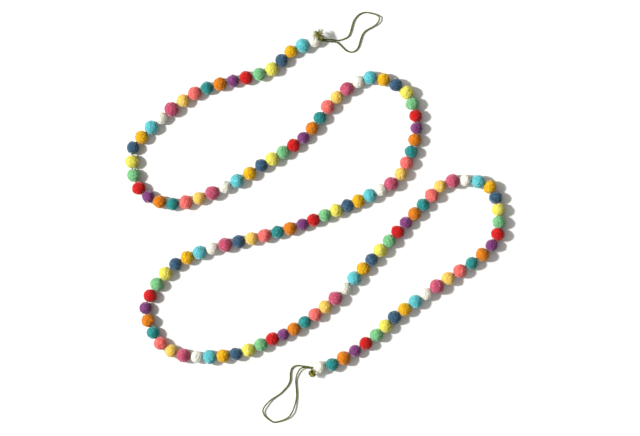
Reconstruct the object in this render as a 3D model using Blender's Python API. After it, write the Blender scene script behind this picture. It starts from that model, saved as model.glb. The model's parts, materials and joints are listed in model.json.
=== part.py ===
"""A felt ball garland laid out on a flat surface in long S-shaped sweeps.

129 wool felt balls are threaded on one thin cord, which ends in a knot, a frayed tuft
and a hanging loop at each end. The balls are built as short runs of three, each run one
closed solid that swells at every ball and narrows between them. Metres, +Z up. The
origin is on the surface, under the middle of the balls.
"""

import math

import bmesh
import bpy
from mathutils import Vector

MM = 0.001

# The colours repeat in this order. Each colour was felted to its own diameter.
FELT_COLOURS = [
    # name, ball diameter in mm, sRGB colour
    ("white", 18.9, "E6E4D2"),
    ("light_blue", 20.9, "5BBDC5"),
    ("gold", 20.1, "E8AF11"),
    ("navy", 19.7, "37566C"),
    ("lime", 20.6, "D8CF53"),
    ("mint", 20.1, "74B37A"),
    ("red", 20.0, "C91618"),
    ("purple", 18.9, "77386B"),
    ("orange", 20.4, "CF720B"),
    ("teal", 19.4, "248481"),
    ("coral", 20.6, "E26863"),
    ("pale_yellow", 19.8, "EAC454"),
    ("raspberry", 21.7, "BC4E64"),
]
COLOUR_NAMES = [row[0] for row in FELT_COLOURS]
FELT_ROUGHNESS = 0.95
BALL_COUNT = 129
EXTRA_NAVY_BALL = 65  # one navy ball is threaded out of turn here
BALLS_PER_RUN = 3
SMOOTH_STEPS = 24  # short straight steps that stand for a curve between two given points

# Where chosen balls lie, in mm. The balls between them follow a smooth curve.
LAYOUT = [
    # ball number, x, y
    (1, -1, 249),
    (3, -37, 233),
    (5, -66, 206),
    (11, -184, 169),
    (16, -265, 102),
    (17, -278, 86),
    (20, -269, 24),
    (23, -218, 0),
    (28, -119, 35),
    (30, -82, 59),
    (34, -18, 101),
    (38, 33, 163),
    (41, 84, 193),
    (43, 123, 182),
    (44, 140, 170),
    (47, 155, 116),
    (51, 131, 46),
    (52, 116, 31),
    (60, -19, -31),
    (70, -213, -92),
    (74, -259, -159),
    (75, -255, -178),
    (77, -236, -213),
    (79, -201, -231),
    (83, -121, -229),
    (86, -65, -206),
    (88, -32, -191),
    (92, 31, -144),
    (94, 60, -113),
    (103, 178, 13),
    (104, 191, 27),
    (105, 210, 35),
    (108, 267, 26),
    (112, 279, -46),
    (114, 256, -77),
    (117, 203, -114),
    (122, 121, -173),
    (124, 94, -200),
    (128, 26, -245),
    (129, 7, -249),
]

SINK_SHARE = 0.94  # a ball's middle stands this share of its radius above the surface
RING_SIDES = 8
FACET_REACH = 0.97  # the flat sides of a ring reach this share of the radius
# The outline of one ball along the cord, as shares of its half pitch and its radius.
BALL_RINGS = [
    # along, radius
    (-0.86, 0.50),
    (-0.35, 0.97),
    (0.35, 0.97),
    (0.86, 0.50),
]
END_RING_SHARE = 0.42  # radius of the flat end of a run
SHARP_ANGLE = 50  # degrees between two faces, past which the edge between them stays sharp
RUN_GAP = 0.3  # mm between the flat ends of two runs

CORD_DIAMETER = 2.4
CORD_STEP = 5.5  # mm between the tube's points, which is under three diameters
CORD_COLOUR = "7C7F48"
CORD_ROUGHNESS = 0.8
TUFT_COLOUR = "A5A050"
TUFT_ROUGHNESS = 0.9

# Routes of the two hanging loops, in mm in the layout's own measure, from the knot out
# along the loop and back to the same knot. The two strands run side by side at first.
TOP_LOOP = [
    (16.2, 251.2, 10.3),
    (22.0, 251.75, 6.8),
    (28.0, 251.2, 4.2),
    (33.6, 250.3, 2.6),
    (39.7, 251.3, 1.6),
    (45.8, 253.5, 1.4),
    (50.8, 256.6, 1.8),
    (53.5, 261.5, 2.0),
    (55.7, 268.8, 2.1),
    (57.3, 275.0, 2.0),
    (60.0, 281.8, 1.9),
    (65.6, 288.8, 1.7),
    (71.8, 292.4, 1.4),
    (78.6, 293.5, 1.35),
    (87.0, 292.0, 1.7),
    (94.7, 289.3, 2.8),
    (98.3, 286.2, 3.6),
    (98.2, 281.6, 4.0),
    (95.6, 277.0, 3.6),
    (90.8, 272.8, 2.5),
    (83.5, 268.6, 2.1),
    (76.6, 264.6, 2.0),
    (72.6, 259.4, 2.1),
    (70.2, 253.2, 2.1),
    (68.6, 247.6, 2.0),
    (66.6, 241.0, 1.7),
    (62.6, 235.3, 1.4),
    (56.0, 232.7, 1.3),
    (50.0, 233.9, 1.3),
    (44.6, 237.8, 1.3),
    (39.4, 243.0, 1.5),
    (33.6, 247.3, 2.6),
    (28.0, 248.3, 4.2),
    (22.0, 249.0, 6.8),
    (16.2, 248.45, 10.3),
]
END_LOOP = [
    (-19.6, -247.4, 5.9),
    (-24.2, -247.1, 3.6),
    (-29.2, -247.6, 2.2),
    (-33.8, -249.8, 2.0),
    (-36.7, -254.0, 2.0),
    (-37.8, -260.0, 2.0),
    (-37.9, -267.2, 2.0),
    (-39.4, -273.8, 1.9),
    (-42.9, -279.6, 1.8),
    (-47.4, -284.9, 1.4),
    (-53.4, -290.7, 1.4),
    (-60.4, -295.4, 1.8),
    (-67.2, -299.6, 2.8),
    (-72.6, -304.4, 4.0),
    (-77.2, -309.8, 4.6),
    (-79.8, -316.2, 3.8),
    (-77.6, -323.4, 2.2),
    (-72.2, -328.8, 1.4),
    (-63.6, -334.2, 1.3),
    (-55.0, -332.9, 1.4),
    (-46.6, -330.0, 2.4),
    (-39.8, -325.3, 3.7),
    (-35.4, -319.3, 4.3),
    (-32.2, -311.6, 3.8),
    (-29.4, -302.6, 2.3),
    (-28.4, -294.4, 2.0),
    (-28.4, -286.2, 1.7),
    (-29.2, -277.4, 1.9),
    (-29.5, -269.6, 2.2),
    (-28.4, -262.8, 3.1),
    (-25.8, -256.6, 4.0),
    (-22.9, -252.4, 4.9),
    (-19.6, -250.15, 5.9),
]

# Each knot is a short thick wrap against the last ball's hole, from start to end in mm.
KNOTS = [
    # name, start, end, radius
    ("top_knot", (6.4, 250.1, 19.4), (15.0, 249.8, 11.4), 2.6),
    ("end_knot", (-4.4, -249.9, 9.8), (-18.4, -248.7, 6.3), 2.4),
]
KNOT_RINGS = [
    # share of the length, share of the radius
    (0.0, 0.55),
    (0.18, 0.95),
    (0.5, 1.0),
    (0.82, 0.95),
    (1.0, 0.55),
]
# Each tuft is the frayed end of the cord: the one at the top stands up like a brush, and
# the one at the end leans out beside the last ball.
TUFTS = [
    # name, foot, head, radius of its widest ring
    ("top_tuft", (5.8, 258.4, 17.8), (5.6, 260.2, 24.4), 9.0),
    ("end_tuft", (-5.0, -254.6, 11.8), (-4.2, -263.6, 14.0), 5.0),
]
TUFT_RINGS = {
    # share of the length, share of the widest radius
    "top_tuft": [(0.0, 0.14), (0.45, 0.24), (0.75, 0.52), (1.0, 1.0), (1.12, 0.55)],
    "end_tuft": [(0.0, 0.40), (0.30, 0.85), (0.65, 1.0), (0.90, 0.85), (1.0, 0.5)],
}


def linear_colour(hex_colour):
    """An sRGB hex colour as the linear RGBA that a material takes."""
    channels = [int(hex_colour[i : i + 2], 16) / 255 for i in (0, 2, 4)]
    linear = [c / 12.92 if c <= 0.04045 else ((c + 0.055) / 1.055) ** 2.4 for c in channels]
    return (*linear, 1.0)


def make_material(name, hex_colour, roughness):
    material = bpy.data.materials.new(name)
    material.use_nodes = True
    shader = material.node_tree.nodes["Principled BSDF"]
    shader.inputs["Base Color"].default_value = linear_colour(hex_colour)
    shader.inputs["Roughness"].default_value = roughness
    shader.inputs["Metallic"].default_value = 0.0
    return material


def smooth_point(before, start, end, after, share):
    """A point on the centripetal Catmull-Rom curve between start and end."""
    knots = [0.0]
    for a, b in ((before, start), (start, end), (end, after)):
        knots.append(knots[-1] + math.sqrt((b - a).length))
    t0, t1, t2, t3 = knots
    t = t1 + (t2 - t1) * share
    a1 = before.lerp(start, (t - t0) / (t1 - t0))
    a2 = start.lerp(end, (t - t1) / (t2 - t1))
    a3 = end.lerp(after, (t - t2) / (t3 - t2))
    b1 = a1.lerp(a2, (t - t0) / (t2 - t0))
    b2 = a2.lerp(a3, (t - t1) / (t3 - t1))
    return b1.lerp(b2, (t - t1) / (t2 - t1))


def smooth_stretches(points, steps):
    """The curve through the points, one list of steps + 1 points between each pair."""
    first = 2 * points[0] - points[1]
    last = 2 * points[-1] - points[-2]
    ends = [first, *points, last]
    return [
        [smooth_point(*ends[i : i + 4], step / steps) for step in range(steps + 1)]
        for i in range(len(points) - 1)
    ]


def point_along(line, distance):
    """The point this far along a line of points."""
    for a, b in zip(line, line[1:]):
        length = (b - a).length
        if distance <= length:
            return a.lerp(b, distance / length)
        distance -= length
    return line[-1].copy()


def line_length(line):
    return sum((b - a).length for a, b in zip(line, line[1:]))


def ball_colour(number):
    """The number of the row of FELT_COLOURS that a ball has. The last ball is white again."""
    if number == EXTRA_NAVY_BALL:
        return COLOUR_NAMES.index("navy")
    if number == BALL_COUNT:
        return COLOUR_NAMES.index("white")
    place = number - 1 - (number > EXTRA_NAVY_BALL)
    return place % len(FELT_COLOURS)


def ball_radius(number):
    return FELT_COLOURS[ball_colour(number)][1] / 2


def lay_out_balls():
    """Every ball's middle, in mm, with its height above the surface."""
    points = [Vector((x, y, 0.0)) for _, x, y in LAYOUT]
    places = {}
    for row, line in enumerate(smooth_stretches(points, SMOOTH_STEPS)):
        first = LAYOUT[row][0]
        last = LAYOUT[row + 1][0]
        pitches = [ball_radius(n) + ball_radius(n + 1) for n in range(first, last)]
        stretch = line_length(line) / sum(pitches)
        for number in range(first, last + 1):
            along = sum(pitches[: number - first]) * stretch
            places[number] = point_along(line, along)
    for number, place in places.items():
        place.z = SINK_SHARE * ball_radius(number)
    return places


def layout_middle(places):
    """The middle of the balls' box, seen from above."""
    lows = [min(places[n][axis] - ball_radius(n) for n in places) for axis in (0, 1)]
    highs = [max(places[n][axis] + ball_radius(n) for n in places) for axis in (0, 1)]
    return Vector(((lows[0] + highs[0]) / 2, (lows[1] + highs[1]) / 2, 0.0))


def add_ring(mesh, middle, direction, radius):
    """A ring of points around the cord, with one flat side down and none under z = 0."""
    side = Vector((direction.y, -direction.x, 0.0)).normalized()
    up = side.cross(direction).normalized()
    ring = []
    for corner in range(RING_SIDES):
        angle = 2 * math.pi * (corner + 0.5) / RING_SIDES
        point = middle + radius * (math.cos(angle) * up + math.sin(angle) * side)
        point.z = max(point.z, 0.0)
        ring.append(mesh.verts.new(point * MM))
    return ring


def close_rings(mesh, rings, ring_materials):
    """Faces between each ring and the next, and a flat face at each end."""
    for index, (ring, following) in enumerate(zip(rings, rings[1:])):
        for corner in range(RING_SIDES):
            after = (corner + 1) % RING_SIDES
            corners = (ring[corner], ring[after], following[after], following[corner])
            face = mesh.faces.new(corners)
            face.material_index = ring_materials[index]
    start = mesh.faces.new(rings[0])
    start.material_index = ring_materials[0]
    end = mesh.faces.new(rings[-1])
    end.material_index = ring_materials[-1]
    bmesh.ops.recalc_face_normals(mesh, faces=mesh.faces)


def add_object(name, mesh, materials):
    data = bpy.data.meshes.new(name)
    mesh.to_mesh(data)
    mesh.free()
    for material in materials:
        data.materials.append(material)
    data.shade_smooth()
    data.set_sharp_from_angle(angle=math.radians(SHARP_ANGLE))
    made = bpy.data.objects.new(name, data)
    bpy.context.scene.collection.objects.link(made)
    return made


def half_pitches(places, number):
    """How far a ball reaches along the cord, towards the ball before and after."""
    radius = ball_radius(number)
    reach = []
    for neighbour in (number - 1, number + 1):
        if neighbour in places:
            step = (places[neighbour] - places[number]).length
            reach.append(step * radius / (radius + ball_radius(neighbour)))
        else:
            reach.append(radius)
    return reach


def cord_direction(places, number):
    """The way that the cord runs through a ball."""
    before = places[max(number - 1, 1)]
    after = places[min(number + 1, BALL_COUNT)]
    direction = after - before
    direction.z = 0.0
    return direction.normalized()


def run_end_ring(mesh, places, number, sign):
    """The flat end of a run, square to the line from its end ball to the next ball."""
    radius = ball_radius(number)
    if number + sign in places:
        step = places[number + sign] - places[number]
    else:
        step = cord_direction(places, number) * sign * radius
    reach = half_pitches(places, number)[0 if sign < 0 else 1] - RUN_GAP / 2
    middle = places[number] + step.normalized() * reach
    way = Vector((step.x, step.y, 0.0)).normalized() * sign
    return add_ring(mesh, middle, way, END_RING_SHARE * radius)


def build_run(name, numbers, places, felt):
    """One run of balls as a single closed solid."""
    mesh = bmesh.new()
    rings = [run_end_ring(mesh, places, numbers[0], -1)]
    ring_materials = []
    for slot, number in enumerate(numbers):
        radius = ball_radius(number)
        before, after = half_pitches(places, number)
        way = cord_direction(places, number)
        for along, share in BALL_RINGS:
            at_run_start = number == numbers[0] and along == BALL_RINGS[0][0]
            at_run_end = number == numbers[-1] and along == BALL_RINGS[-1][0]
            if at_run_start or at_run_end:
                continue  # the run's flat end takes this ring's place
            middle = places[number] + way * along * (before if along < 0 else after)
            corner_radius = share * radius * FACET_REACH / math.cos(math.pi / RING_SIDES)
            rings.append(add_ring(mesh, middle, way, corner_radius))
            ring_materials.append(slot)
    rings.append(run_end_ring(mesh, places, numbers[-1], 1))
    ring_materials.append(len(numbers) - 1)
    close_rings(mesh, rings, ring_materials)
    return add_object(name, mesh, [felt[ball_colour(n)] for n in numbers])


def build_runs(places):
    felt = [make_material(f"felt_{name}", colour, FELT_ROUGHNESS) for name, _, colour in FELT_COLOURS]
    for index in range(BALL_COUNT // BALLS_PER_RUN):
        first = index * BALLS_PER_RUN + 1
        numbers = list(range(first, first + BALLS_PER_RUN))
        build_run(f"balls_{index + 1:02d}", numbers, places, felt)


def build_turned_solid(name, start, end, radius, outline, material):
    """A round solid about the line from start to end, with its outline as shares."""
    mesh = bmesh.new()
    axis = end - start
    rings = []
    for along, share in outline:
        rings.append(add_ring(mesh, start + axis * along, axis.normalized(), share * radius))
    close_rings(mesh, rings, [0] * (len(rings) - 1))
    return add_object(name, mesh, [material])


def build_loop(name, route, shift, material):
    """A hanging loop: one tube through the route's points, evenly spaced."""
    points = [Vector(point) - shift for point in route]
    line = [points[0]]
    for stretch in smooth_stretches(points, SMOOTH_STEPS):
        line.extend(stretch[1:])
    count = round(line_length(line) / CORD_STEP)
    data = bpy.data.curves.new(name, "CURVE")
    data.dimensions = "3D"
    data.bevel_depth = CORD_DIAMETER / 2 * MM
    data.bevel_resolution = 2
    data.use_fill_caps = True
    spline = data.splines.new("POLY")
    spline.points.add(count)
    for index in range(count + 1):
        point = point_along(line, line_length(line) * index / count)
        spline.points[index].co = (*(point * MM), 1.0)
    spline.use_smooth = True
    data.materials.append(material)
    made = bpy.data.objects.new(name, data)
    bpy.context.scene.collection.objects.link(made)
    return made


def build_ends(shift):
    """The loop, knot and tuft at each end of the garland."""
    cord = make_material("twisted_cord", CORD_COLOUR, CORD_ROUGHNESS)
    frayed = make_material("frayed_cord", TUFT_COLOUR, TUFT_ROUGHNESS)
    build_loop("top_loop", TOP_LOOP, shift, cord)
    build_loop("end_loop", END_LOOP, shift, cord)
    for name, start, end, radius in KNOTS:
        ends = Vector(start) - shift, Vector(end) - shift
        build_turned_solid(name, *ends, radius, KNOT_RINGS, cord)
    for name, foot, head, radius in TUFTS:
        ends = Vector(foot) - shift, Vector(head) - shift
        build_turned_solid(name, *ends, radius, TUFT_RINGS[name], frayed)


def build_garland():
    for old in list(bpy.data.objects):
        bpy.data.objects.remove(old, do_unlink=True)
    places = lay_out_balls()
    shift = layout_middle(places)
    places = {number: place - shift for number, place in places.items()}
    build_runs(places)
    build_ends(shift)


build_garland()
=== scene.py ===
import json
import math
import random

import bpy
from mathutils import Euler, Matrix, Vector

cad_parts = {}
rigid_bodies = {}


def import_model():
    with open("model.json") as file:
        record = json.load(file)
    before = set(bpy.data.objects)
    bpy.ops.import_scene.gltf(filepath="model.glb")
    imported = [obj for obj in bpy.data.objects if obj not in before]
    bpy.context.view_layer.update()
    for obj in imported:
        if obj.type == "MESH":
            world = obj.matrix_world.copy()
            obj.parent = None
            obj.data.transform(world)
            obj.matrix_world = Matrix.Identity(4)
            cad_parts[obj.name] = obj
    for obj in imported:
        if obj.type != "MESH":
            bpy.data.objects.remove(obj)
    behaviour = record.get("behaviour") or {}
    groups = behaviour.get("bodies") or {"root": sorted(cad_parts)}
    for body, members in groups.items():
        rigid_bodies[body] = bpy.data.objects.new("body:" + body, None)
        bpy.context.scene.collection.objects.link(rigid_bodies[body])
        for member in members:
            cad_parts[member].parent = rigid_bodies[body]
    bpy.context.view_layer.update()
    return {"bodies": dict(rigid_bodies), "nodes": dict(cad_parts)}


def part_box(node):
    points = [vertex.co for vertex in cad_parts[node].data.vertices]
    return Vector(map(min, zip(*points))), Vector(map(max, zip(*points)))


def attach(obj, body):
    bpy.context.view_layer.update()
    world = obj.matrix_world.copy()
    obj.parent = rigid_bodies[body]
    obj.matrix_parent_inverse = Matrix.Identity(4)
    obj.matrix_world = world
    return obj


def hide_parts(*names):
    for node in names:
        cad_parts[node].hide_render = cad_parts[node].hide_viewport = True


# A garland of wool felt balls on one thin olive cord, lying in long sweeps on a pale table.

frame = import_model()
body = next(iter(frame["bodies"]))
mm = 0.001

scene = bpy.context.scene
for old in [thing for thing in bpy.data.objects if thing.name in ("Cube", "Light", "Camera")]:
    bpy.data.objects.remove(old, do_unlink=True)
scene.view_settings.view_transform = "Standard"  # keeps the dyes as bright as they are


# small helpers

def linear(hexColour):
    # an sRGB hex colour as the linear RGBA that a socket takes
    channels = [int(hexColour[i:i + 2], 16) / 255 for i in (0, 2, 4)]
    values = [c / 12.92 if c <= 0.04045 else ((c + 0.055) / 1.055) ** 2.4 for c in channels]
    return (*values, 1.0)


def addNode(tree, kind, settings=None, links=None):
    # one node: settings go to its own values or its inputs, links to its inputs
    node = tree.nodes.new(kind)
    for name, value in (settings or {}).items():
        if isinstance(name, str) and hasattr(node, name):
            setattr(node, name, value)
        else:
            node.inputs[name].default_value = value
    for name, source in (links or {}).items():
        tree.links.new(source, node.inputs[name])
    return node


def deselectAll():
    if bpy.context.mode != "OBJECT":
        bpy.ops.object.mode_set(mode="OBJECT")
    bpy.ops.object.select_all(action="DESELECT")


def makeActive(piece):
    deselectAll()
    piece.select_set(True)
    bpy.context.view_layer.objects.active = piece


def applyAll(piece):
    makeActive(piece)
    for modifier in list(piece.modifiers):
        bpy.ops.object.modifier_apply(modifier=modifier.name)


def finishPiece(piece, slotName, *nodes):
    # the garland has one body, and a piece may stand in for CAD nodes
    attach(piece, body)
    if nodes:
        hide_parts(*nodes)
    return piece


view = {
    "seenWidth": 0.9773,  # how much the camera takes in at the height of the balls' middles
    "ballMiddle": 0.0094,
    "aim": (0.0071, -0.0214),  # the place that it looks straight down on
    "distance": 2.5,
    "sensor": 36.0,
    "farthest": 20.0,
}


def makeCamera():
    data = bpy.data.cameras.new("overheadCamera")
    data.sensor_width = view["sensor"]
    data.lens = view["sensor"] * view["distance"] / view["seenWidth"]
    data.clip_end = view["farthest"]
    camera = bpy.data.objects.new("overheadCamera", data)
    scene.collection.objects.link(camera)
    camera.location = (*view["aim"], view["distance"] + view["ballMiddle"])
    scene.camera = camera


light = {
    "lampPlace": (-1.90, 0.27, 1.95),  # near enough for the shadows to grow a little away from it
    "lampRadius": 0.145,
    "lampPower": 52.0,
    "fillFrom": (-0.95, 0.15, 0.25),  # the room is brighter on the lamp's side
    # from the far side to the near side
    "fillRange": {"From Min": -0.4, "From Max": 0.95, "To Min": 0.05, "To Max": 1.05},
}


def makeLight():
    data = bpy.data.lights.new("studioLamp", "POINT")
    data.energy = light["lampPower"]
    data.shadow_soft_size = light["lampRadius"]
    data.use_nodes = True
    tree = data.node_tree
    even = addNode(tree, "ShaderNodeLightFalloff", {"Strength": 1.0})  # as bright far off as near
    tree.links.new(even.outputs["Constant"], tree.nodes["Emission"].inputs["Strength"])
    lamp = bpy.data.objects.new("studioLamp", data)
    scene.collection.objects.link(lamp)
    lamp.location = light["lampPlace"]
    world = bpy.data.worlds.new("paleRoom")
    world.use_nodes = True
    room = world.node_tree
    around = addNode(room, "ShaderNodeTexCoord").outputs["Generated"]
    towards = addNode(room, "ShaderNodeVectorMath",
                      {"operation": "DOT_PRODUCT", 1: light["fillFrom"]}, {0: around})
    bright = addNode(room, "ShaderNodeMapRange", light["fillRange"],
                     {"Value": towards.outputs["Value"]})
    room.nodes["Background"].inputs["Color"].default_value = (1.0, 1.0, 1.0, 1.0)
    room.links.new(bright.outputs["Result"], room.nodes["Background"].inputs["Strength"])
    scene.world = world


table = {
    "side": 8.0,
    "height": -0.0003,  # a hair below the balls' flat spots
    "colour": "EDEDEA",
}


def makeTable():
    deselectAll()
    bpy.ops.mesh.primitive_plane_add(size=table["side"], location=(0.0, 0.0, table["height"]))
    sheet = bpy.context.object
    sheet.name = "paleTable"
    material = bpy.data.materials.new("mattWhiteCard")  # smooth matt card, no pattern of its own
    material.use_nodes = True
    shader = material.node_tree.nodes["Principled BSDF"]
    shader.inputs["Base Color"].default_value = linear(table["colour"])
    shader.inputs["Roughness"].default_value = 0.9
    shader.inputs["Specular IOR Level"].default_value = 0.2
    sheet.data.materials.append(material)


makeCamera()
makeLight()
makeTable()
print("camera, light and table made")


felt = {
    # name: ball diameter in mm, main dye, deep tone (darker dye clouds and painted shade in the
    # pits), pale tone of the loose fibres
    "white": (18.9, "EEECD8", "DAD7C9", "FFFFFC"),
    "light_blue": (20.9, "87D6D6", "47A6AE", "D8F4F4"),
    "gold": (20.1, "FFDA0A", "CB9400", "FFEBA8"),
    "navy": (19.7, "426D85", "24445E", "D2E0E8"),
    "lime": (20.6, "F9F072", "CDC449", "FBF8C6"),
    "mint": (20.1, "A0D897", "61A46E", "DCF2DC"),
    "red": (20.0, "FF070B", "AA0509", "FFA79E"),
    "purple": (18.9, "A04A8B", "642760", "F2DCEE"),
    "orange": (20.4, "F69303", "BB6502", "FFD79A"),
    "teal": (19.4, "24ABA4", "127472", "CCF0EC"),
    "coral": (20.6, "FF8A7C", "D35955", "FFCDC6"),
    "pale_yellow": (19.8, "F2D576", "DAB04E", "FFF2C8"),
    "raspberry": (21.7, "E66E82", "A63E5A", "FBD2DC"),
}


feltSurface = {
    "clouds": 6.0 * mm,  # unevenly dyed patches of wool
    "cloudRange": {"From Min": 0.43, "From Max": 0.57, "To Min": 0.0, "To Max": 0.95},
    "tufts": 2.9 * mm,  # matted tufts, with a pit between one and the next, painted darker there as shade
    # painted shade in the pits: where between the tufts the deep tone sets in, and where it is full
    "pitShadeRange": {"From Min": 0.42, "From Max": 0.66, "To Min": 0.0, "To Max": 1.0},
    "strandWidth": 0.34 * mm,  # wool is 0.02 mm thick: its strands are drawn coarser to show
    "strandLength": 2.4 * mm,
    "strandRange": {"From Min": 0.62, "From Max": 0.80, "To Min": 0.0, "To Max": 0.4},
    "strandTurns": ((0.3, 0.9, 0.2), (1.2, 0.1, 1.5), (2.1, -0.8, 0.7)),  # which ways they lie
    "sheen": 0.8,
    "bumpHeight": (0.30 * mm, 1.5 * mm),  # of the strands, and of the tufts
}


def feltMaterial(name, dye, cloudAndPitShadeTone, pale):
    # Wet-felted wool: matt, with a soft pale bloom on the lit side, cloudy dye, painted shade in
    # the small pits between its tufts, and a tangle of strands lying every way.
    material = bpy.data.materials.new(f"wetFeltedWool_{name}")
    material.use_nodes = True
    tree = material.node_tree
    shader = tree.nodes["Principled BSDF"]
    shader.inputs["Roughness"].default_value = 0.95
    shader.inputs["IOR"].default_value = 1.54  # wool
    shader.inputs["Specular IOR Level"].default_value = 0.15
    shader.inputs["Sheen Weight"].default_value = feltSurface["sheen"]
    shader.inputs["Sheen Roughness"].default_value = 0.35
    shader.inputs["Sheen Tint"].default_value = linear(pale)
    place = addNode(tree, "ShaderNodeTexCoord").outputs["Object"]
    clouds = addNode(tree, "ShaderNodeTexNoise",
                     {"Scale": 1 / feltSurface["clouds"], "Detail": 3.0, "Roughness": 0.6},
                     {"Vector": place})
    tufts = addNode(tree, "ShaderNodeTexVoronoi",
                    {"feature": "SMOOTH_F1", "Scale": 1 / feltSurface["tufts"], "Smoothness": 0.5,
                     "Detail": 1.0}, {"Vector": place})
    stretch = feltSurface["strandLength"] / feltSurface["strandWidth"]
    strands = None
    for turn in feltSurface["strandTurns"]:
        laid = addNode(tree, "ShaderNodeMapping",
                       {"vector_type": "TEXTURE", "Rotation": turn, "Scale": (stretch, 1.0, 1.0)},
                       {"Vector": place})
        layer = addNode(tree, "ShaderNodeTexNoise",
                        {"Scale": 1 / feltSurface["strandWidth"], "Detail": 2.0, "Distortion": 0.5},
                        {"Vector": laid.outputs["Vector"]}).outputs["Fac"]
        if strands is not None:
            layer = addNode(tree, "ShaderNodeMath", {"operation": "MAXIMUM"},
                            {0: strands, 1: layer}).outputs["Value"]
        strands = layer
    patchy = addNode(tree, "ShaderNodeMapRange", feltSurface["cloudRange"],
                     {"Value": clouds.outputs["Fac"]})
    # painted shade: the pits between the tufts are darkened towards the deep tone, as are the dye's
    # darker clouds
    pitShadeMask = addNode(tree, "ShaderNodeMapRange", feltSurface["pitShadeRange"],
                     {"Value": tufts.outputs["Distance"]})
    cloudAndPitShadeMask = addNode(tree, "ShaderNodeMath", {"operation": "MAXIMUM"},
                     {0: patchy.outputs["Result"], 1: pitShadeMask.outputs["Result"]})
    base = addNode(tree, "ShaderNodeMix", {"data_type": "RGBA", 6: linear(dye), 7: linear(cloudAndPitShadeTone)},
                   {0: cloudAndPitShadeMask.outputs["Value"]})
    paler = addNode(tree, "ShaderNodeMapRange", feltSurface["strandRange"], {"Value": strands})
    fibred = addNode(tree, "ShaderNodeMix", {"data_type": "RGBA", 7: linear(pale)},
                     {0: paler.outputs["Result"], 6: base.outputs[2]})
    tree.links.new(fibred.outputs[2], shader.inputs["Base Color"])
    strandHeight, tuftHeight = feltSurface["bumpHeight"]
    tuftBump = addNode(tree, "ShaderNodeBump",
                       {"Strength": 0.8, "Distance": tuftHeight, "invert": True},
                       {"Height": tufts.outputs["Distance"]})
    strandBump = addNode(tree, "ShaderNodeBump", {"Strength": 0.9, "Distance": strandHeight},
                         {"Height": strands, "Normal": tuftBump.outputs["Normal"]})
    tree.links.new(strandBump.outputs["Normal"], shader.inputs["Normal"])
    return material


cord = {
    "diameter": 2.4 * mm,
    "plyPitch": 5.0 * mm,  # how far one ply runs along in a full turn
    "plyDepth": 0.17,  # the grooves between the three plies, as a share of the radius
    "step": 0.4 * mm,  # from one point to the next along a loop
    "plies": 3,
    "sides": 12,
    "yarn": ("626A1E", "363A0A", "929940"),  # main colour, in the thin places, on single fibres
    "slubs": 4.0 * mm,  # thick and thin places along the yarn
    "slubSpan": (0.35, 0.65),
    "fibres": 0.5 * mm,  # single fibres, drawn coarser than real ones so that they show
    "fibreRange": {"From Min": 0.5, "From Max": 0.8, "To Min": 0.0, "To Max": 0.6},
    "frayed": ("2A2402", "A09C28", "C2C058"),  # at the foot, dark as painted shade where the fibres crowd; along the fibre; at its tip
    "frayedStops": (0.25, 0.55, 1.0),
    "frayedRange": {"To Min": 0.0, "To Max": 0.75},  # how much darker than the rest a fibre can be
}


def cordMaterial(name, yarn, thin, pale):
    # Twisted jute cord: matt and rough, patchy along its length, with paler single fibres.
    material = bpy.data.materials.new(name)
    material.use_nodes = True
    tree = material.node_tree
    shader = tree.nodes["Principled BSDF"]
    shader.inputs["Roughness"].default_value = 0.85
    shader.inputs["IOR"].default_value = 1.53  # cellulose
    shader.inputs["Specular IOR Level"].default_value = 0.25
    shader.inputs["Sheen Weight"].default_value = 0.25
    shader.inputs["Sheen Tint"].default_value = linear(pale)
    place = addNode(tree, "ShaderNodeTexCoord").outputs["Object"]
    slubs = addNode(tree, "ShaderNodeTexNoise", {"Scale": 1 / cord["slubs"], "Detail": 2.0},
                    {"Vector": place})
    fibres = addNode(tree, "ShaderNodeTexNoise",
                     {"Scale": 1 / cord["fibres"], "Detail": 3.0, "Distortion": 0.8},
                     {"Vector": place})
    shade = addNode(tree, "ShaderNodeValToRGB", {}, {"Fac": slubs.outputs["Fac"]})
    shade.color_ramp.elements[0].position = cord["slubSpan"][0]
    shade.color_ramp.elements[0].color = linear(thin)
    shade.color_ramp.elements[1].position = cord["slubSpan"][1]
    shade.color_ramp.elements[1].color = linear(yarn)
    lit = addNode(tree, "ShaderNodeMapRange", cord["fibreRange"], {"Value": fibres.outputs["Fac"]})
    mixed = addNode(tree, "ShaderNodeMix", {"data_type": "RGBA", 7: linear(pale)},
                    {0: lit.outputs["Result"], 6: shade.outputs["Color"]})
    tree.links.new(mixed.outputs[2], shader.inputs["Base Color"])
    bump = addNode(tree, "ShaderNodeBump", {"Strength": 0.5, "Distance": 0.1 * mm},
                   {"Height": fibres.outputs["Fac"]})
    tree.links.new(bump.outputs["Normal"], shader.inputs["Normal"])
    return material


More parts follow.
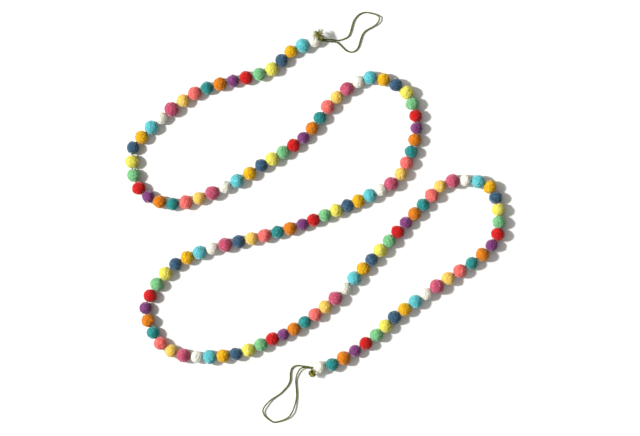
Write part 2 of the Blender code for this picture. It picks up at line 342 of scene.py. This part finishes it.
def frayedMaterial(name, foot, middle, tip):
    # Combed-out jute: loose fibres, painted dark at the foot as shade where they are pinched
    # together, and pale at their tips.
    material = bpy.data.materials.new(name)
    material.use_nodes = True
    tree = material.node_tree
    shader = tree.nodes["Principled BSDF"]
    shader.inputs["Roughness"].default_value = 0.8
    shader.inputs["IOR"].default_value = 1.53  # cellulose
    shader.inputs["Specular IOR Level"].default_value = 0.3
    share = addNode(tree, "ShaderNodeAttribute", {"attribute_name": "fibreShare"}).outputs["Fac"]
    tone = addNode(tree, "ShaderNodeAttribute", {"attribute_name": "fibreTone"}).outputs["Fac"]
    # painted shade: the fibres darken towards their foot, where they crowd together
    shade = addNode(tree, "ShaderNodeValToRGB", {}, {"Fac": share})
    low, half, high = cord["frayedStops"]
    shade.color_ramp.elements[0].position = low
    shade.color_ramp.elements[0].color = linear(foot)
    shade.color_ramp.elements[1].position = high
    shade.color_ramp.elements[1].color = linear(tip)
    shade.color_ramp.elements.new(half).color = linear(middle)
    darker = addNode(tree, "ShaderNodeMapRange", cord["frayedRange"], {"Value": tone})
    mixed = addNode(tree, "ShaderNodeMix", {"data_type": "RGBA", 7: linear(foot)},
                    {0: darker.outputs["Result"], 6: shade.outputs["Color"]})
    tree.links.new(mixed.outputs[2], shader.inputs["Base Color"])
    return material


feltMaterials = {name: feltMaterial(name, *row[1:]) for name, row in felt.items()}
cordMaterials = {
    "twisted_cord": cordMaterial("twistedJuteCord", *cord["yarn"]),
    "frayed_cord": frayedMaterial("frayedJuteFibre", *cord["frayed"]),
}
print("materials made")


# Places in mm, here and below, are on the plan that the garland was laid out on, and the frame's
# origin is at this place on it.
layoutShift = Vector((0.498, 0.0, 0.0))
# the loops' routes, from the knot round to the knot again, as in the CAD
topLoopRoute = [
    (16.2, 251.2, 10.3), (22.0, 251.75, 6.8), (28.0, 251.2, 4.2), (33.6, 250.3, 2.6),
    (39.7, 251.3, 1.6), (45.8, 253.5, 1.4), (50.8, 256.6, 1.8), (53.5, 261.5, 2.0),
    (55.7, 268.8, 2.1), (57.3, 275.0, 2.0), (60.0, 281.8, 1.9), (65.6, 288.8, 1.7),
    (71.8, 292.4, 1.4), (78.6, 293.5, 1.35), (87.0, 292.0, 1.7), (94.7, 289.3, 2.8),
    (98.3, 286.2, 3.6), (98.2, 281.6, 4.0), (95.6, 277.0, 3.6), (90.8, 272.8, 2.5),
    (83.5, 268.6, 2.1), (76.6, 264.6, 2.0), (72.6, 259.4, 2.1), (70.2, 253.2, 2.1),
    (68.6, 247.6, 2.0), (66.6, 241.0, 1.7), (62.6, 235.3, 1.4), (56.0, 232.7, 1.3),
    (50.0, 233.9, 1.3), (44.6, 237.8, 1.3), (39.4, 243.0, 1.5), (33.6, 247.3, 2.6),
    (28.0, 248.3, 4.2), (22.0, 249.0, 6.8), (16.2, 248.45, 10.3),
]
endLoopRoute = [
    (-19.6, -247.4, 5.9), (-24.2, -247.1, 3.6), (-29.2, -247.6, 2.2), (-33.8, -249.8, 2.0),
    (-36.7, -254.0, 2.0), (-37.8, -260.0, 2.0), (-37.9, -267.2, 2.0), (-39.4, -273.8, 1.9),
    (-42.9, -279.6, 1.8), (-47.4, -284.9, 1.4), (-53.4, -290.7, 1.4), (-60.4, -295.4, 1.8),
    (-67.2, -299.6, 2.8), (-72.6, -304.4, 4.0), (-77.2, -309.8, 4.6), (-79.8, -316.2, 3.8),
    (-77.6, -323.4, 2.2), (-72.2, -328.8, 1.4), (-63.6, -334.2, 1.3), (-55.0, -332.9, 1.4),
    (-46.6, -330.0, 2.4), (-39.8, -325.3, 3.7), (-35.4, -319.3, 4.3), (-32.2, -311.6, 3.8),
    (-29.4, -302.6, 2.3), (-28.4, -294.4, 2.0), (-28.4, -286.2, 1.7), (-29.2, -277.4, 1.9),
    (-29.5, -269.6, 2.2), (-28.4, -262.8, 3.1), (-25.8, -256.6, 4.0), (-22.9, -252.4, 4.9),
    (-19.6, -250.15, 5.9),
]


def smoothPoint(before, start, end, after, share):
    # a point on the centripetal Catmull-Rom curve between start and end
    t0 = 0.0
    t1 = t0 + math.sqrt((start - before).length)
    t2 = t1 + math.sqrt((end - start).length)
    t3 = t2 + math.sqrt((after - end).length)
    t = t1 + (t2 - t1) * share
    a1 = before.lerp(start, (t - t0) / (t1 - t0))
    a2 = start.lerp(end, (t - t1) / (t2 - t1))
    a3 = end.lerp(after, (t - t2) / (t3 - t2))
    b1 = a1.lerp(a2, (t - t0) / (t2 - t0))
    b2 = a2.lerp(a3, (t - t1) / (t3 - t1))
    return b1.lerp(b2, (t - t1) / (t2 - t1))


def smoothLine(points, steps=12):
    ends = [2 * points[0] - points[1], *points, 2 * points[-1] - points[-2]]
    line = [points[0].copy()]
    for i in range(len(points) - 1):
        line += [smoothPoint(*ends[i:i + 4], step / steps) for step in range(1, steps + 1)]
    return line


def lineLength(line):
    return sum((b - a).length for a, b in zip(line, line[1:]))


def evenLine(line, step):
    # the same line with its points an even step apart
    count = max(2, round(lineLength(line) / step))
    even = [line[0].copy()]
    wanted = lineLength(line) / count
    walked = 0.0
    for a, b in zip(line, line[1:]):
        stretch = (b - a).length
        while stretch > 0 and walked + stretch >= wanted * len(even) and len(even) < count:
            even.append(a.lerp(b, (wanted * len(even) - walked) / stretch))
        walked += stretch
    even.append(line[-1].copy())
    return even


def plyProfile():
    # the cord's section: its three plies show as the leaves of a clover
    sides = cord["sides"]
    data = bpy.data.curves.new("plyProfile", "CURVE")
    data.dimensions = "2D"
    spline = data.splines.new("POLY")
    spline.points.add(sides - 1)
    for i in range(sides):
        angle = 2 * math.pi * i / sides
        groove = 0.5 - 0.5 * math.cos(cord["plies"] * angle)
        reach = cord["diameter"] / 2 * (1 - cord["plyDepth"] * groove)
        spline.points[i].co = (reach * math.cos(angle), reach * math.sin(angle), 0.0, 1.0)
    spline.use_cyclic_u = True
    profile = bpy.data.objects.new("plyProfile", data)
    scene.collection.objects.link(profile)
    return profile


def twistedTube(name, line, pitch):
    # a cord along the line, its plies turned by tilting the section more at each point
    profile = plyProfile()
    data = bpy.data.curves.new(name, "CURVE")
    data.dimensions = "3D"
    data.twist_mode = "MINIMUM"
    data.bevel_mode = "OBJECT"
    data.bevel_object = profile
    data.use_fill_caps = True
    spline = data.splines.new("POLY")
    spline.points.add(len(line) - 1)
    along = 0.0
    for i, point in enumerate(line):
        along += (point - line[i - 1]).length if i else 0.0
        spline.points[i].co = (*point, 1.0)
        spline.points[i].tilt = 2 * math.pi * along / pitch
    tube = bpy.data.objects.new(name, data)
    scene.collection.objects.link(tube)
    data.materials.append(cordMaterials["twisted_cord"])
    makeActive(tube)
    bpy.ops.object.convert(target="MESH")
    tube = bpy.context.object
    bpy.data.objects.remove(profile, do_unlink=True)
    bpy.ops.object.mode_set(mode="EDIT")
    bpy.ops.mesh.select_all(action="SELECT")
    bpy.ops.mesh.remove_doubles(threshold=mm / 1000)
    bpy.ops.mesh.normals_make_consistent(inside=False)
    bpy.ops.object.mode_set(mode="OBJECT")
    bpy.ops.object.shade_smooth_by_angle(angle=math.radians(60))
    return tube


def fromLayout(place):
    return (Vector(place) - layoutShift) * mm


def makeLoop(name, node, route):
    line = evenLine(smoothLine([fromLayout(place) for place in route]), cord["step"])
    loop = twistedTube(name, line, cord["plyPitch"])
    return finishPiece(loop, "twisted_cord", node), line


topLoop, topLoopLine = makeLoop("topHangingLoop", "top_loop", topLoopRoute)
endLoop, endLoopLine = makeLoop("endHangingLoop", "end_loop", endLoopRoute)
print("hanging loops made")


knots = {
    # the tail leads to the tuft; the wraps run from start to end, at this radius from their axis
    "topBarrelKnot": {
        "node": "top_knot", "tail": (5.8, 256.4, 17.4), "start": (6.4, 250.1, 19.4),
        "end": (15.0, 249.8, 11.4), "turns": 4.5, "radius": 1.45 * mm,
    },
    "endBarrelKnot": {
        "node": "end_knot", "tail": (-4.4, -253.6, 11.6), "start": (-4.4, -249.9, 9.8),
        "end": (-18.4, -248.7, 6.3), "turns": 5.5, "radius": 1.25 * mm,
    },
}
knotWrap = {
    "pointsPerTurn": 16,
    "overlap": 2.8 * mm,  # how far the wraps run on over the loop's two strands
    "rise": 8,  # the wraps widen in the first eighth of their way and narrow in the last
    "step": 0.5 * mm,
}


def makeKnot(name, row):
    # the cord wrapped round itself and pulled tight against the ball
    a = fromLayout(row["start"])
    b = fromLayout(row["end"])
    axis = (b - a).normalized()
    b += axis * knotWrap["overlap"]
    side = axis.cross(Vector((0.0, 0.0, 1.0))).normalized()
    up = side.cross(axis)
    inset = cord["diameter"] / 2
    count = round(row["turns"] * knotWrap["pointsPerTurn"])
    line = [fromLayout(row["tail"])]
    for i in range(count + 1):
        share = i / count
        angle = 2 * math.pi * row["turns"] * share
        along = inset + share * ((b - a).length - 2 * inset)
        out = row["radius"] * min(1.0, knotWrap["rise"] * share, knotWrap["rise"] * (1 - share))
        line.append(a + axis * along + out * (math.cos(angle) * up + math.sin(angle) * side))
    line = evenLine(smoothLine(line, steps=3), knotWrap["step"])
    knot = twistedTube(name, line, cord["plyPitch"])
    return finishPiece(knot, "twisted_cord", row["node"])


tufts = {
    # Lengths are in mm. The fibres run from the foot towards the head and spread out on the way.
    # A larger gather brings more of them near the middle, a smaller flare spreads them sooner,
    # the curl bends their tips back and the twirl makes them wavy.
    "topBrushTuft": {
        "node": "top_tuft", "foot": (5.9, 257.2, 17.2), "head": (5.9, 258.8, 24.4),
        "fibres": 135, "spread": 11.0, "gather": 0.9, "flare": 1.0, "curl": 3.6, "twirl": 0.5,
        "thick": 0.66, "seed": 11,
    },
    "endSideTuft": {
        "node": "end_tuft", "foot": (-4.4, -253.2, 11.8), "head": (-2.0, -265.2, 15.0),
        "fibres": 62, "spread": 6.6, "gather": 0.6, "flare": 0.6, "curl": 1.6, "twirl": 2.2,
        "thick": 0.70, "seed": 23,
    },
}
tuftFibre = {
    "steps": 8,  # straight steps along one fibre
    "sides": 4,
    "length": (0.7, 1.05),  # shortest and longest, as shares of the way from foot to head
    "roundness": 0.75,  # how much shorter the outermost are, so that a tuft ends in a dome
    "inmost": 0.03,  # the least spread of a fibre, as a share of the tuft's
    "bend": 0.6,  # radians that a fibre turns round the tuft's axis on its way, at most
    "arch": 0.95,  # how much of a quarter turn it leans over
    "wave": 6,  # radians of its waviness from foot to tip
    "pinch": 0.5 * mm,  # how far from the axis it starts
    "taper": 0.35,
}


def makeTuft(name, row):
    # the cord's frayed end: fibres that fan out from one pinched foot
    dice = random.Random(row["seed"])
    foot = fromLayout(row["foot"])
    head = fromLayout(row["head"])
    axis = (head - foot).normalized()
    side = axis.cross(Vector((0.3, 1.0, 0.2))).normalized()  # any way across the axis
    up = side.cross(axis)
    height = (head - foot).length
    data = bpy.data.curves.new(name, "CURVE")
    data.dimensions = "3D"
    data.bevel_depth = row["thick"] / 2 * mm
    data.bevel_resolution = 0
    data.use_fill_caps = True
    tones = []
    for _ in range(row["fibres"]):
        angle = dice.uniform(0.0, 2 * math.pi)
        outward = dice.uniform(tuftFibre["inmost"], 1.0) ** row["gather"]
        spread = row["spread"] * mm * outward
        tall = height * dice.uniform(*tuftFibre["length"])
        tall *= math.sqrt(1 - tuftFibre["roundness"] * outward ** 2)
        bend = dice.uniform(-tuftFibre["bend"], tuftFibre["bend"])
        phase = dice.uniform(0.0, 2 * math.pi)
        tones.append(dice.uniform(0.0, 1.0))
        spline = data.splines.new("POLY")
        spline.points.add(tuftFibre["steps"])
        for i in range(tuftFibre["steps"] + 1):
            t = i / tuftFibre["steps"]
            turn = angle + bend * t
            out = tuftFibre["pinch"] + spread * t ** row["flare"]
            rise = tall * math.sin(t * math.pi / 2 * tuftFibre["arch"])
            rise -= row["curl"] * mm * t ** 4
            point = foot + axis * rise + out * (math.cos(turn) * side + math.sin(turn) * up)
            twirl = row["twirl"] * mm * math.sin(math.pi * t)
            wave = phase + tuftFibre["wave"] * t
            point += twirl * (math.cos(wave) * side + math.sin(wave) * axis)
            spline.points[i].co = (*point, 1.0)
            spline.points[i].radius = 1.0 - tuftFibre["taper"] * t
    tuft = bpy.data.objects.new(name, data)
    scene.collection.objects.link(tuft)
    data.materials.append(cordMaterials["frayed_cord"])
    makeActive(tuft)
    bpy.ops.object.convert(target="MESH")
    tuft = bpy.context.object
    shares = tuft.data.attributes.new("fibreShare", "FLOAT", "POINT")
    toneOfPoint = tuft.data.attributes.new("fibreTone", "FLOAT", "POINT")
    perFibre = len(tuft.data.vertices) // row["fibres"]
    for i in range(len(tuft.data.vertices)):
        shares.data[i].value = (i % perFibre) // tuftFibre["sides"] / tuftFibre["steps"]
        toneOfPoint.data[i].value = tones[i // perFibre]
    bpy.ops.object.mode_set(mode="EDIT")
    bpy.ops.mesh.select_all(action="SELECT")
    bpy.ops.mesh.normals_make_consistent(inside=False)
    bpy.ops.object.mode_set(mode="OBJECT")
    bpy.ops.object.shade_smooth_by_angle(angle=math.radians(60))
    return finishPiece(tuft, "frayed_cord", row["node"])


knotPieces = {name: makeKnot(name, row) for name, row in knots.items()}
tuftPieces = {name: makeTuft(name, row) for name, row in tufts.items()}
print("knots and tufts made")


ballSet = {
    "runs": 43,  # each run is one CAD node
    "perRun": 3,
    "extraNavy": 65,  # one navy ball is threaded out of turn
    "spotSpacing": 12.0 * mm,  # the flat spots under two balls are farther apart than this
    "spotHeight": 0.05 * mm,
    "wide": (0.95, 1.04),  # how wide a ball is across the cord, as a share of its diameter
    "crowding": 1.03,  # a crowded ball fills this much of its share of the cord
    "middle": 0.94,  # how high a ball's middle is, in its radii, because it lies on a flat spot
    "seed": 1000,
}
ballForm = {
    # lengths are in the ball's radii
    "count": 6,  # how many differently shaped balls there are before they are turned and sized
    "lumps": 9,
    "lumpDepth": 0.05,
    "lumpSpread": (0.5, 1.3),  # shallowest and deepest, in lump depths
    "lumpReach": (0.5, 0.9),
    "holeDent": -0.13,  # where the needle went in and out
    "holeReach": 0.32,
    "unevenness": (  # name, kind, scale and height
        ("wide", "CLOUDS", 0.45, 0.15),
        ("tufts", "CLOUDS", 0.17, 0.07),
        ("pits", "VORONOI", 0.26, 0.025),
    ),
    "roll": 0.9,  # radians from one form to the next, so that each meets other clouds
    "seed": 300,
}
fuzz = {
    "density": 118000.0,  # loose fibres on each square metre of felt
    "length": (0.9 * mm, 2.2 * mm),
    "lean": 1.0,  # radians
    "clear": 3.4 * mm,  # no loose fibre grows lower than this, where it would reach the table
    # the rest is in lengths of the fibre
    "thickness": 0.03,
    "root": -0.1,  # its foot is this deep in the felt
    "taper": 0.8,  # from one step to the next
    "bends": (  # the steps of three fibres
        ((0.10, 0.0, 0.45), (0.30, 0.08, 0.22), (0.35, -0.05, -0.06)),
        ((-0.12, 0.05, 0.40), (-0.10, 0.30, 0.20), (0.22, 0.28, 0.02)),
        ((0.20, -0.10, 0.34), (0.36, -0.06, 0.05), (0.20, 0.20, -0.12)),
    ),
}
feltNames = list(felt)


def ballColour(number):
    # the dyes repeat in order, but for the extra navy ball and a white one at the very end
    if number == ballSet["extraNavy"]:
        return "navy"
    if number == ballSet["perRun"] * ballSet["runs"]:
        return "white"
    return feltNames[(number - 1 - (number > ballSet["extraNavy"])) % len(feltNames)]


def ballRadius(number):
    return felt[ballColour(number)][0] / 2 * mm


def ballSpots():
    # each ball's place: the middle of the flat facet under it, in the order of threading
    places = []
    lo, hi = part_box("top_knot")
    last = (lo + hi) / 2
    for run in range(1, ballSet["runs"] + 1):
        node = frame["nodes"][f"balls_{run:02d}"]
        low = {tuple(round(c, 5) for c in vertex.co) for vertex in node.data.vertices
               if vertex.co.z < ballSet["spotHeight"]}
        spots = []
        for point in map(Vector, sorted(low)):
            near = [spot for spot in spots if (spot[0] - point).length < ballSet["spotSpacing"]]
            if near:
                near[0].append(point)
            else:
                spots.append([point])
        middles = [sum(spot, Vector()) / len(spot) for spot in spots]
        middles.sort(key=lambda middle: (middle - last).length)
        places += middles
        last = middles[-1]
    return places


def pushSpot(piece, way, amount, reach):
    # presses or pulls one soft spot of a ball
    makeActive(piece)
    bpy.ops.object.mode_set(mode="EDIT")
    bpy.ops.mesh.select_all(action="DESELECT")
    bpy.ops.object.mode_set(mode="OBJECT")
    farthest = max(piece.data.vertices, key=lambda vertex: vertex.co.dot(way))
    farthest.select = True
    bpy.ops.object.mode_set(mode="EDIT")
    bpy.ops.transform.translate(value=way * amount, use_proportional_edit=True,
                                proportional_edit_falloff="SMOOTH", proportional_size=reach)
    bpy.ops.object.mode_set(mode="OBJECT")


def anyWay(dice):
    # a direction, no way likelier than another
    z = dice.uniform(-1.0, 1.0)
    angle = dice.uniform(0.0, 2 * math.pi)
    flat = math.sqrt(1 - z * z)
    return Vector((flat * math.cos(angle), flat * math.sin(angle), z))


def makeBallForm(index):
    # one hand-rolled ball of radius 1 with its needle hole along X
    dice = random.Random(ballForm["seed"] + index)
    deselectAll()
    bpy.ops.mesh.primitive_ico_sphere_add(subdivisions=5, radius=1.0, location=(0.0, 0.0, 0.0))
    form = bpy.context.object
    form.name = f"ballForm{index}"
    bpy.context.tool_settings.mesh_select_mode = (True, False, False)
    for _ in range(ballForm["lumps"]):
        depth = dice.choice((-1, 1)) * ballForm["lumpDepth"]  # pressed in or pulled out
        depth *= dice.uniform(*ballForm["lumpSpread"])
        pushSpot(form, anyWay(dice), depth, dice.uniform(*ballForm["lumpReach"]))
    for side in (-1.0, 1.0):
        pushSpot(form, Vector((side, 0.0, 0.0)), ballForm["holeDent"], ballForm["holeReach"])
    for name, kind, scale, strength in ballForm["unevenness"]:
        texture = bpy.data.textures.new(f"{name}{index}", kind)
        texture.noise_scale = scale
        bumps = form.modifiers.new(name, "DISPLACE")
        bumps.texture = texture
        bumps.strength = strength
        bumps.mid_level = 0.5
    form.rotation_euler = Euler((ballForm["roll"] * index, 0.0, 0.0))
    bpy.ops.object.transform_apply(location=False, rotation=True, scale=False)
    applyAll(form)
    bpy.ops.object.shade_smooth()
    return form


def makeFuzzFibre(index, bends):
    # one loose wool fibre, about 1 long, that rises and then bends over along the felt
    deselectAll()
    bpy.ops.mesh.primitive_circle_add(vertices=3, radius=fuzz["thickness"], fill_type="NGON",
                                      location=(0.0, 0.0, fuzz["root"]))
    fibre = bpy.context.object
    fibre.name = f"fuzzFibre{index}"
    bpy.ops.object.mode_set(mode="EDIT")
    bpy.ops.mesh.select_all(action="SELECT")
    for bend in bends:
        bpy.ops.mesh.extrude_region_move(TRANSFORM_OT_translate={"value": bend})
        bpy.ops.transform.resize(value=(fuzz["taper"],) * 3)
    bpy.ops.mesh.merge(type="CENTER")
    bpy.ops.mesh.select_all(action="SELECT")
    bpy.ops.mesh.normals_make_consistent(inside=False)
    bpy.ops.object.mode_set(mode="OBJECT")
    bpy.ops.object.shade_smooth()
    return fibre


def fuzzNodes(fibres):
    # loose fibres scattered on a piece, all but under it, and made real
    tree = bpy.data.node_groups.new("woolFuzz", "GeometryNodeTree")
    tree.is_modifier = True
    for name, kind in (("Geometry", "NodeSocketGeometry"), ("Seed", "NodeSocketInt"),
                       ("Density", "NodeSocketFloat"), ("Shortest", "NodeSocketFloat"),
                       ("Longest", "NodeSocketFloat"), ("Material", "NodeSocketMaterial")):
        tree.interface.new_socket(name, in_out="INPUT", socket_type=kind)
    tree.interface.new_socket("Geometry", in_out="OUTPUT", socket_type="NodeSocketGeometry")
    given = addNode(tree, "NodeGroupInput").outputs
    height = addNode(tree, "ShaderNodeSeparateXYZ", {},
                     {"Vector": addNode(tree, "GeometryNodeInputPosition").outputs["Position"]})
    above = addNode(tree, "FunctionNodeCompare", {"operation": "GREATER_THAN", 1: fuzz["clear"]},
                    {0: height.outputs["Z"]})
    points = addNode(tree, "GeometryNodeDistributePointsOnFaces", {},
                     {"Mesh": given["Geometry"], "Selection": above.outputs["Result"],
                      "Density": given["Density"], "Seed": given["Seed"]})
    lean = addNode(tree, "FunctionNodeRandomValue",
                   {"data_type": "FLOAT_VECTOR", 0: (-fuzz["lean"], -fuzz["lean"], 0.0),
                    1: (fuzz["lean"], fuzz["lean"], 2 * math.pi)},
                   {"Seed": given["Seed"]})
    turned = addNode(tree, "FunctionNodeRotateRotation", {"rotation_space": "LOCAL"},
                     {"Rotation": points.outputs["Rotation"], "Rotate By": lean.outputs[0]})
    size = addNode(tree, "FunctionNodeRandomValue", {"data_type": "FLOAT"},
                   {2: given["Shortest"], 3: given["Longest"], "Seed": given["Seed"]})
    shapes = addNode(tree, "GeometryNodeCollectionInfo",
                     {"Collection": fibres, "Separate Children": True, "Reset Children": True})
    copies = addNode(tree, "GeometryNodeInstanceOnPoints", {"Pick Instance": True},
                     {"Points": points.outputs["Points"], "Instance": shapes.outputs["Instances"],
                      "Rotation": turned.outputs["Rotation"], "Scale": size.outputs[1]})
    real = addNode(tree, "GeometryNodeRealizeInstances", {},
                   {"Geometry": copies.outputs["Instances"]})
    dyed = addNode(tree, "GeometryNodeSetMaterial", {},
                   {"Geometry": real.outputs["Geometry"], "Material": given["Material"]})
    joined = addNode(tree, "GeometryNodeJoinGeometry")
    tree.links.new(dyed.outputs["Geometry"], joined.inputs[0])
    tree.links.new(given["Geometry"], joined.inputs[0])
    addNode(tree, "NodeGroupOutput", {}, {"Geometry": joined.outputs["Geometry"]})
    return tree


def addFuzz(piece, tree, seed, material):
    scatter = piece.modifiers.new("fuzz", "NODES")
    scatter.node_group = tree
    values = {"Seed": seed, "Density": fuzz["density"], "Shortest": fuzz["length"][0],
              "Longest": fuzz["length"][1], "Material": material}
    for socket in tree.interface.items_tree:
        if socket.in_out == "INPUT" and socket.name in values:
            scatter[socket.identifier] = values[socket.name]
    applyAll(piece)


def placeBall(form, number, places):
    # one ball on its place, its needle hole along the cord
    name = ballColour(number)
    radius = ballRadius(number)
    dice = random.Random(ballSet["seed"] + number)
    here = places[number - 1]
    neighbours = [n for n in (number - 1, number + 1) if 1 <= n <= len(places)]
    reach = radius
    if len(neighbours) == 2:
        shares = [(places[n - 1] - here).length * radius / (radius + ballRadius(n))
                  for n in neighbours]
        reach = min(radius, sum(shares) / 2 * ballSet["crowding"])  # pressed where balls crowd
    before = places[max(number - 2, 0)]
    after = places[min(number, len(places) - 1)]
    way = (after - before).normalized()
    up = Vector((0.0, 0.0, 1.0))
    turn = Matrix((way, up.cross(way), up)).transposed().to_4x4()
    roll = Matrix.Rotation(dice.uniform(0.0, 2 * math.pi), 4, "X")
    flip = Matrix.Rotation(math.pi * dice.choice((0, 1)), 4, "Z")
    sized = Matrix.Diagonal((reach, radius * dice.uniform(*ballSet["wide"]), radius, 1.0))
    ball = form.copy()
    ball.data = form.data.copy()
    ball.name = f"ball_{number:03d}_{name}"
    scene.collection.objects.link(ball)
    middle = Vector((here.x, here.y, ballSet["middle"] * radius))
    ball.data.transform(Matrix.Translation(middle) @ turn @ sized @ flip @ roll)
    for vertex in ball.data.vertices:
        vertex.co.z = max(vertex.co.z, 0.0)  # the small flat spot that it lies on
    ball.data.materials.append(feltMaterials[name])
    return ball


def makeBalls():
    places = ballSpots()
    forms = [makeBallForm(index) for index in range(ballForm["count"])]
    fibres = bpy.data.collections.new("fuzzFibres")
    for index, bends in enumerate(fuzz["bends"]):
        fibre = makeFuzzFibre(index, bends)
        fibres.objects.link(fibre)
        scene.collection.objects.unlink(fibre)
    tree = fuzzNodes(fibres)
    for number in range(1, len(places) + 1):
        ball = placeBall(forms[number % len(forms)], number, places)
        addFuzz(ball, tree, number, feltMaterials[ballColour(number)])
        run = (number - 1) // ballSet["perRun"] + 1
        finishPiece(ball, "wool_felt", f"balls_{run:02d}")
    for helper in forms + list(fibres.objects):
        bpy.data.objects.remove(helper, do_unlink=True)
    return places


places = makeBalls()
print(len(places), "balls made")


threaded = {
    "height": 9.3 * mm,  # through the balls' middles
    "step": 4.0 * mm,  # coarse, because little of it shows
    "plyPitch": 20.0 * mm,  # longer than on the loops, to suit the step
}


def makeThreadedCord(places):
    # the cord from knot to knot inside the balls, which shows where two balls don't touch
    first, last = (fromLayout(knots[name]["start"]) for name in ("topBarrelKnot", "endBarrelKnot"))
    line = [first, *(Vector((place.x, place.y, threaded["height"])) for place in places), last]
    line = evenLine(smoothLine(line, steps=4), threaded["step"])
    finishPiece(twistedTube("threadedCord", line, threaded["plyPitch"]), "twisted_cord")


makeThreadedCord(places)
print("threaded cord made")
